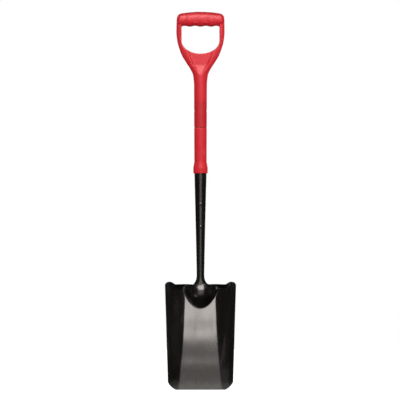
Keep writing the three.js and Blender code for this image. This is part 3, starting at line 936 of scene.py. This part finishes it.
def lacquered_steel():
    """Black stoving lacquer over forged steel, thin and greyer along the mouth."""
    finish = Finish("lacquered_steel")
    height = finish.maths("SUBTRACT", finish.part_of_place("Z"), cad_low.z)
    ragged = finish.spread(finish.noise(60, detail=4), 0.3, 0.7, -0.004, 0.004)
    ragged_height = finish.maths("ADD", height, ragged)
    worn = finish.spread(ragged_height, 0.004, 0.030, 1, 0, smooth=True)
    cloudy = finish.noise(14, detail=5, roughness=0.6)
    along = finish.stretched(1, 1, 0.06)
    scratch = finish.noise(70, detail=2, roughness=0.4, distortion=0.2, place=along)
    scratches = finish.spread(scratch, 0.66, 0.72, 0, 0.25)
    lacquer = finish.blend(cloudy, (0.0022, 0.0017, 0.0014), (0.0042, 0.0032, 0.0027))
    lacquer = finish.blend(worn, lacquer, (0.034, 0.036, 0.030))
    lacquer = finish.blend(scratches, lacquer, (0.045, 0.043, 0.040))
    finish.link(lacquer, "Base Color")
    streaks = finish.noise(45, detail=4, roughness=0.55, place=finish.stretched(1, 1, 0.25))
    satin = finish.spread(streaks, 0.3, 0.7, 0.17, 0.29)
    dulled = finish.spread(worn, 0, 1, 0, 0.10)
    finish.link(finish.maths("ADD", satin, dulled), "Roughness")
    finish.set(metallic=0.0, specular_ior_level=1.0)
    forged = finish.bump(finish.noise(16, detail=2, roughness=0.4), 0.0006, 0.3)
    peel = finish.bump(finish.noise(260, detail=1, roughness=0.4), 0.00004, 0.4, after=forged)
    finish.link(peel, "Normal")
    return finish.material


RED_BRIGHT = (0.610, 0.020, 0.030)
RED_DEEP = (0.550, 0.015, 0.023)
RED_SCUFF = (0.72, 0.14, 0.14)
BAND_HEIGHT = 70.0
BAND_SHADE = 0.86
BAND_STRENGTH = 0.8
BAND_EDGE = 0.004


def shaded(colour, shade):
    return tuple(part * shade for part in colour)


def red_plastic(name, shade, banded=False):
    """Semi-gloss red plastic with a fine moulded grain and light scuffs.

    A banded piece is a little darker along its lowest part.
    """
    finish = Finish(name)
    deep = shaded(RED_DEEP, shade)
    cloudy = finish.noise(30, detail=4, roughness=0.6)
    colour = finish.blend(cloudy, deep, shaded(RED_BRIGHT, shade))
    if banded:
        top = to_frame((0, 0, HANDLE_LOW.z + BAND_HEIGHT))[2]
        height = finish.part_of_place("Z")
        below = finish.spread(height, top - BAND_EDGE, top + BAND_EDGE, 1, 0, smooth=True)
        band = finish.maths("MULTIPLY", below, BAND_STRENGTH)
        colour = finish.blend(band, colour, shaded(deep, BAND_SHADE))
    scuff = finish.noise(85, detail=3, distortion=0.6, place=finish.stretched(1, 1, 0.3))
    colour = finish.blend(finish.spread(scuff, 0.66, 0.76, 0, 0.22), colour, RED_SCUFF)
    finish.link(colour, "Base Color")
    patches = finish.noise(120, detail=4, roughness=0.6)
    finish.link(finish.spread(patches, 0.3, 0.7, 0.40, 0.50), "Roughness")
    finish.set(specular_ior_level=0.15)
    from_middle = finish.maths("ABSOLUTE", finish.part_of_place("Y"), 0.0)
    parting_line = finish.spread(from_middle, 0.0002, 0.0005, 1, 0, smooth=True)
    line = finish.bump(parting_line, 0.00015, 0.6)
    grain = finish.bump(finish.noise(1300, detail=2), 0.00005, 0.3, after=line)
    waves = finish.bump(finish.noise(22, detail=2, roughness=0.4), 0.0005, 0.3, after=grain)
    finish.link(waves, "Normal")
    return finish.material


def rivet_steel():
    """Lacquered steel, rubbed and hammered."""
    finish = Finish("rivet_steel")
    rubbed = finish.noise(350, detail=4, roughness=0.6)
    finish.link(finish.blend(rubbed, (0.008, 0.006, 0.005), (0.030, 0.026, 0.023)), "Base Color")
    finish.link(finish.spread(finish.noise(600), 0.3, 0.7, 0.2, 0.38), "Roughness")
    finish.set(metallic=0.2, specular_ior_level=0.7)
    hammered = finish.noise(380, detail=2, roughness=0.4)
    finish.link(finish.bump(hammered, 0.0003, 0.6), "Normal")
    return finish.material


def zinc_pin():
    """Bright zinc plate with fine turning marks and a few dull spots."""
    finish = Finish("zinc_pin")
    plate = finish.noise(500, detail=4, roughness=0.6)
    finish.link(finish.blend(plate, (0.42, 0.43, 0.44), (0.62, 0.62, 0.61)), "Base Color")
    finish.link(finish.spread(finish.noise(900), 0.3, 0.7, 0.25, 0.42), "Roughness")
    finish.set(metallic=0.95)
    marks = finish.noise(2500, detail=1, roughness=0.3, place=finish.stretched(1, 0.1, 0.1))
    finish.link(finish.bump(marks, 0.00005, 0.5), "Normal")
    return finish.material


def fibreglass():
    """Pulled glass fibre in clear resin: pale yellow with long strands."""
    finish = Finish("fibreglass_tube")
    strands = finish.noise(900, roughness=0.6, place=finish.stretched(1, 1, 0.02))
    finish.link(finish.blend(strands, (0.52, 0.44, 0.25), (0.78, 0.70, 0.46)), "Base Color")
    finish.link(finish.spread(strands, 0.3, 0.7, 0.35, 0.6), "Roughness")
    finish.link(finish.bump(strands, 0.0001, 0.5), "Normal")
    return finish.material


def dull_plastic(name, dark, light, roughness):
    """Plain moulded plastic for a hidden piece."""
    finish = Finish(name)
    cloudy = finish.noise(240, detail=4, roughness=0.6)
    finish.link(finish.blend(cloudy, dark, light), "Base Color")
    patches = finish.noise(500)
    finish.link(finish.spread(patches, 0.3, 0.7, roughness - 0.08, roughness + 0.08), "Roughness")
    finish.link(finish.bump(finish.noise(1500, detail=2), 0.00006, 0.5), "Normal")
    return finish.material


# ---------------------------------------------------------------- dress the frame


def dress(piece, material, slot, *nodes):
    """Gives a piece its finish and lets it stand in for nodes of the frame."""
    piece.data.materials.clear()
    piece.data.materials.append(material)
    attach(piece, "root")
    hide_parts(*nodes)


def repaint(node, material):
    """Gives a node of the frame a finish and keeps its shape."""
    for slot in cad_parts[node].material_slots:
        slot.material = material


dress(head_piece(), lacquered_steel(), "lacquered_steel", "blade_and_socket")
dress(handle_piece(), red_plastic("red_handle", 1.0, banded=True), "red_plastic", "d_handle")
dress(sleeve_piece(), red_plastic("red_sleeve", 1.02), "red_plastic", "shaft_sleeve")
dress(collar_piece(), red_plastic("red_collar", 1.06), "collar_plastic", "socket_collar")
rivet_finish = rivet_steel()
for rivet_node in ("rivet_upper", "rivet_lower"):
    dress(rivet_piece(rivet_node), rivet_finish, "rivet_steel", rivet_node)
dress(pin_piece(), zinc_pin(), "pin_steel", "handle_pin")
repaint("shaft_tube", fibreglass())
nylon = dull_plastic("filled_nylon", (0.030, 0.030, 0.032), (0.052, 0.052, 0.055), 0.6)
repaint("socket_tenon", nylon)
plug_plastic = dull_plastic("plug_plastic", (0.22, 0.23, 0.24), (0.31, 0.32, 0.33), 0.65)
repaint("tube_plug", plug_plastic)


# ---------------------------------------------------------------- studio

CENTRE = (cad_low + cad_high) / 2
HEIGHT = cad_high.z - cad_low.z
LENS = 150.0
SENSOR = 36.0
FRAME_SHARE = 0.941
CAMERA_SIDESTEP = -0.0013
FLOOR_RADIUS = 1.2
FLOOR_CORNERS = 96
FLOOR_GAP = 0.002
FLOOR_GLOW = 0.55
ROOM_LIGHT = 0.03
WHITE = (1, 1, 1)
WARM = (1, 0.93, 0.87)

# Each lamp's name, place, point aimed at, width and height, watts, colour, and what it lights:
# "gloss" lamps only show as reflections, and "body" lamps only light what isn't a reflection.
LAMPS = [
    ("key_high", (0.25, -2.4, 0.80), (0, 0, -0.75), (1.7, 1.7), 54, WARM, "gloss"),
    ("fill_low", (0.1, -2.6, -0.5), (0, 0, -0.8), (1.7, 1.0), 5, WARM, "gloss"),
    ("right_side", (1.6, -1.2, 1.6), (0, 0, -0.3), (1.0, 1.0), 10, WHITE, "both"),
    ("back_top", (-0.6, 2.4, 1.0), (0, 0, -0.4), (1.8, 1.4), 30, WHITE, "both"),
    ("back_wide", (0.2, 2.8, -0.2), (0, 0, -0.5), (3.4, 1.6), 34, WHITE, "both"),
    ("back_low", (0.7, 2.2, -2.1), (0, 0, -0.8), (3.2, 1.0), 11, WHITE, "gloss"),
    ("low_left", (-1.4, -1.6, -1.35), (0, 0, -0.8), (1.2, 0.5), 2, WHITE, "gloss"),
    ("soft_front", (0.5, -2.9, 0.2), (0, 0, -0.3), (2.0, 2.0), 30, WHITE, "body"),
    ("soft_left", (-2.2, -1.4, 0.1), (0, 0, -0.3), (2.0, 2.0), 52, WHITE, "body"),
    ("soft_right", (2.2, -1.4, 0.1), (0, 0, -0.3), (2.0, 2.0), 50, WHITE, "body"),
    ("grip_top", (0, -0.65, 0.42), (0, 0, 0), (0.7, 0.4), 20, WHITE, "gloss"),
]


def studio_world():
    """White where the camera sees it, and only a dim grey as light."""
    world = bpy.data.worlds.new("studio")
    bpy.context.scene.world = world
    world.use_nodes = True
    nodes, links = world.node_tree.nodes, world.node_tree.links
    light = nodes["Background"]
    light.inputs["Color"].default_value = (1, 1, 1, 1)
    light.inputs["Strength"].default_value = ROOM_LIGHT
    seen = nodes.new("ShaderNodeBackground")
    seen.inputs["Color"].default_value = (1, 1, 1, 1)
    seen.inputs["Strength"].default_value = 1.0
    path = nodes.new("ShaderNodeLightPath")
    chosen = nodes.new("ShaderNodeMixShader")
    links.new(path.outputs["Is Camera Ray"], chosen.inputs["Fac"])
    links.new(light.outputs["Background"], chosen.inputs[1])
    links.new(seen.outputs["Background"], chosen.inputs[2])
    links.new(chosen.outputs["Shader"], nodes["World Output"].inputs["Surface"])


def softbox(name, place, aim, size, watts, colour, lights):
    """A rectangular lamp that the camera doesn't see."""
    lamp = bpy.data.lights.new(name, "AREA")
    lamp.shape = "RECTANGLE"
    lamp.size, lamp.size_y = size
    lamp.energy = watts
    lamp.color = colour
    holder = bpy.data.objects.new(name, lamp)
    bpy.context.scene.collection.objects.link(holder)
    holder.location = place
    holder.rotation_mode = "QUATERNION"
    holder.rotation_quaternion = (Vector(aim) - Vector(place)).to_track_quat("-Z", "Y")
    holder.visible_camera = False
    holder.visible_diffuse = lights != "gloss"
    holder.visible_glossy = lights != "body"


def floor():
    """A floor just under the mouth, bright enough to run out into white.

    It doesn't show in the lacquer, so that the hollow side stays dark.
    """
    finish = Finish("pale_floor")
    finish.set(base_color=(0.9, 0.9, 0.9, 1), roughness=0.9, specular_ior_level=0.1)
    finish.set(emission_color=(1, 1, 1, 1), emission_strength=FLOOR_GLOW)
    angles = np.radians(np.linspace(0, 360, FLOOR_CORNERS, endpoint=False))
    points = [(FLOOR_RADIUS * math.cos(a), FLOOR_RADIUS * math.sin(a), 0) for a in angles]
    mesh = bpy.data.meshes.new("floor")
    mesh.from_pydata(points, [], [tuple(range(len(points)))])
    mesh.materials.append(finish.material)
    made = bpy.data.objects.new("floor", mesh)
    bpy.context.scene.collection.objects.link(made)
    made.location = (CENTRE.x, CENTRE.y, cad_low.z - FLOOR_GAP)
    made.visible_glossy = False
    made.visible_diffuse = False


def camera():
    """Level and square on, as far away as the framing needs."""
    data = bpy.data.cameras.new("camera")
    data.lens = LENS
    data.sensor_width = SENSOR
    holder = bpy.data.objects.new("camera", data)
    bpy.context.scene.collection.objects.link(holder)
    distance = HEIGHT / 2 / FRAME_SHARE / (SENSOR / 2 / LENS)
    holder.location = (CAMERA_SIDESTEP, -distance, CENTRE.z)
    holder.rotation_euler = (math.pi / 2, 0, 0)
    bpy.context.scene.camera = holder


studio_world()
floor()
camera()
for lamp_values in LAMPS:
    softbox(*lamp_values)
bpy.context.scene.view_settings.view_transform = "Standard"
